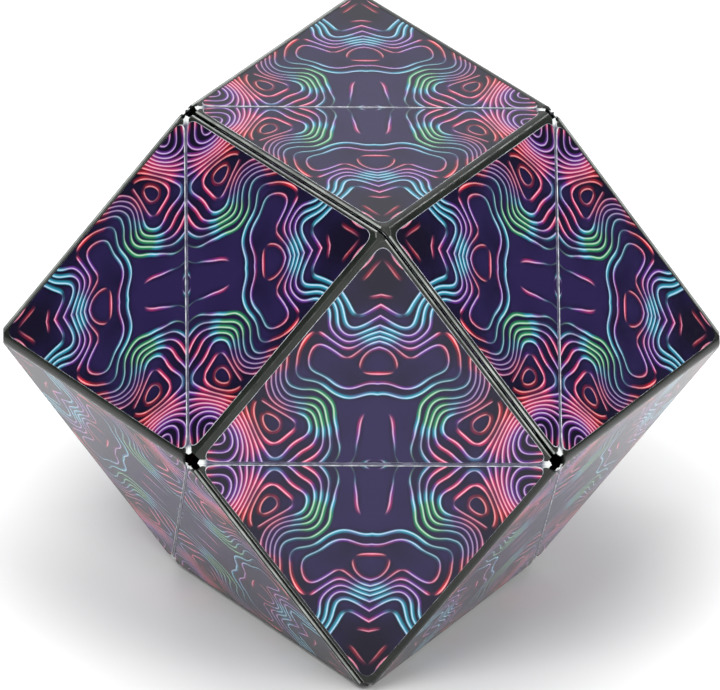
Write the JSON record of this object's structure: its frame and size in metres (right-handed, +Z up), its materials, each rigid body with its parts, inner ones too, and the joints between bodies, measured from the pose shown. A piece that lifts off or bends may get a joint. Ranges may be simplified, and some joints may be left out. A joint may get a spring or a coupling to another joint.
{
  "type": "folding magnetic puzzle",
  "caption": "Hinged ring of hollow tetrahedral blocks with magnets and printed film faces, folded into a hollow rhombic dodecahedron; it folds on into a solid cube.",
  "frame": {"origin": "middle of the rhombus it lies on, at the surface it lies on", "axes": "+X along the line between two opposite four-way corners that lies level, +Z up, -Y out of the upright front rhombus"},
  "size_m": [0.1112, 0.0804, 0.0803],
  "materials": {
    "shell_plastic": "moulded black plastic, soft satin sheen",
    "plate_plastic": "moulded black plastic, satin",
    "magnet": "nickel-plated",
    "printed_film": "glossy printed film",
    "hinge_film": "translucent pale film"
  },
  "bodies": {
    "wedge_01": {"wedge_01_shell": "shell_plastic", "wedge_01_base_plate": "plate_plastic", "wedge_01_magnets": "magnet", "wedge_01_film_panels": "printed_film"},
    "wedge_02": {"wedge_02_shell": "shell_plastic", "wedge_02_base_plate": "plate_plastic", "wedge_02_magnets": "magnet", "wedge_02_film_panels": "printed_film"},
    "wedge_03": {"wedge_03_shell": "shell_plastic", "wedge_03_base_plate": "plate_plastic", "wedge_03_magnets": "magnet", "wedge_03_film_panels": "printed_film", "hinge_02_03_film": "hinge_film"},
    "wedge_04": {"wedge_04_shell": "shell_plastic", "wedge_04_base_plate": "plate_plastic", "wedge_04_magnets": "magnet", "wedge_04_film_panels": "printed_film", "hinge_03_04_film": "hinge_film"},
    "wedge_05": {"wedge_05_shell": "shell_plastic", "wedge_05_base_plate": "plate_plastic", "wedge_05_magnets": "magnet", "wedge_05_film_panels": "printed_film", "hinge_04_05_film": "hinge_film"},
    "wedge_06": {"wedge_06_shell": "shell_plastic", "wedge_06_base_plate": "plate_plastic", "wedge_06_magnets": "magnet", "wedge_06_film_panels": "printed_film", "hinge_06_07_film": "hinge_film", "hinge_05_06_film": "hinge_film"},
    "wedge_07": {"wedge_07_shell": "shell_plastic", "wedge_07_base_plate": "plate_plastic", "wedge_07_magnets": "magnet", "wedge_07_film_panels": "printed_film", "hinge_07_08_film": "hinge_film"},
    "wedge_08": {"wedge_08_shell": "shell_plastic", "wedge_08_base_plate": "plate_plastic", "wedge_08_magnets": "magnet", "wedge_08_film_panels": "printed_film", "hinge_08_09_film": "hinge_film"},
    "wedge_09": {"wedge_09_shell": "shell_plastic", "wedge_09_base_plate": "plate_plastic", "wedge_09_magnets": "magnet", "wedge_09_film_panels": "printed_film", "hinge_09_10_film": "hinge_film"},
    "wedge_10": {"wedge_10_shell": "shell_plastic", "wedge_10_base_plate": "plate_plastic", "wedge_10_magnets": "magnet", "wedge_10_film_panels": "printed_film", "hinge_10_11_film": "hinge_film"},
    "wedge_11": {"wedge_11_shell": "shell_plastic", "wedge_11_base_plate": "plate_plastic", "wedge_11_magnets": "magnet", "wedge_11_film_panels": "printed_film", "hinge_11_12_film": "hinge_film"},
    "wedge_12": {"wedge_12_shell": "shell_plastic", "wedge_12_base_plate": "plate_plastic", "wedge_12_magnets": "magnet", "wedge_12_film_panels": "printed_film", "hinge_12_01_film": "hinge_film"}
  },
  "joints": [
    {"name": "fold_06_07", "type": "hinge", "parent": "wedge_06", "child": "wedge_07", "pos_m": [-0.0285, -0.02015, 0.02], "axis": [0, 0.7071, -0.7071], "range_deg": [0, 180], "deforming": ["hinge_06_07_film"]},
    {"name": "fold_07_08", "type": "hinge", "parent": "wedge_07", "child": "wedge_08", "pos_m": [0, 0, -0.00015], "axis": [-1, 0, 0], "range_deg": [0, 180], "deforming": ["hinge_07_08_film"]},
    {"name": "fold_08_09", "type": "hinge", "parent": "wedge_08", "child": "wedge_09", "pos_m": [-0.0285, 0.02015, 0.02], "axis": [0, -0.7071, -0.7071], "range_deg": [0, 180], "deforming": ["hinge_08_09_film"]},
    {"name": "fold_09_10", "type": "hinge", "parent": "wedge_09", "child": "wedge_10", "pos_m": [-0.0285, 0.02015, 0.06031], "axis": [0, -0.7071, 0.7071], "range_deg": [0, 180], "deforming": ["hinge_09_10_film"]},
    {"name": "fold_10_11", "type": "hinge", "parent": "wedge_10", "child": "wedge_11", "pos_m": [0, 0.04031, 0.04016], "axis": [1, 0, 0], "range_deg": [0, 180], "deforming": ["hinge_10_11_film"]},
    {"name": "fold_11_12", "type": "hinge", "parent": "wedge_11", "child": "wedge_12", "pos_m": [0.0285, 0.02015, 0.02], "axis": [0, 0.7071, 0.7071], "range_deg": [0, 180], "deforming": ["hinge_11_12_film"]},
    {"name": "fold_12_01", "type": "hinge", "parent": "wedge_12", "child": "wedge_01", "pos_m": [0.0285, 0.02015, 0.06031], "axis": [0, 0.7071, -0.7071], "range_deg": [0, 180], "deforming": ["hinge_12_01_film"]},
    {"name": "fold_05_06", "type": "hinge", "parent": "wedge_06", "child": "wedge_05", "pos_m": [-0.0285, -0.02015, 0.06031], "axis": [0, -0.7071, -0.7071], "range_deg": [0, 180], "deforming": ["hinge_05_06_film"]},
    {"name": "fold_04_05", "type": "hinge", "parent": "wedge_05", "child": "wedge_04", "pos_m": [0, -0.04031, 0.04016], "axis": [-1, 0, 0], "range_deg": [0, 180], "deforming": ["hinge_04_05_film"]},
    {"name": "fold_03_04", "type": "hinge", "parent": "wedge_04", "child": "wedge_03", "pos_m": [0.0285, -0.02015, 0.02], "axis": [0, 0.7071, -0.7071], "range_deg": [0, 180], "deforming": ["hinge_03_04_film"]},
    {"name": "fold_02_03", "type": "hinge", "parent": "wedge_03", "child": "wedge_02", "pos_m": [0.0285, -0.02015, 0.06031], "axis": [0, 0.7071, 0.7071], "range_deg": [0, 180], "deforming": ["hinge_02_03_film"]}
  ],
  "couplings": [
    {"joint": "fold_07_08", "follows": "fold_06_07", "ratio": 1},
    {"joint": "fold_08_09", "follows": "fold_06_07", "ratio": 1},
    {"joint": "fold_09_10", "follows": "fold_06_07", "ratio": 1},
    {"joint": "fold_10_11", "follows": "fold_06_07", "ratio": 1},
    {"joint": "fold_11_12", "follows": "fold_06_07", "ratio": 1},
    {"joint": "fold_12_01", "follows": "fold_06_07", "ratio": 1},
    {"joint": "fold_05_06", "follows": "fold_06_07", "ratio": 1},
    {"joint": "fold_04_05", "follows": "fold_06_07", "ratio": 1},
    {"joint": "fold_03_04", "follows": "fold_06_07", "ratio": 1},
    {"joint": "fold_02_03", "follows": "fold_06_07", "ratio": 1}
  ]
}
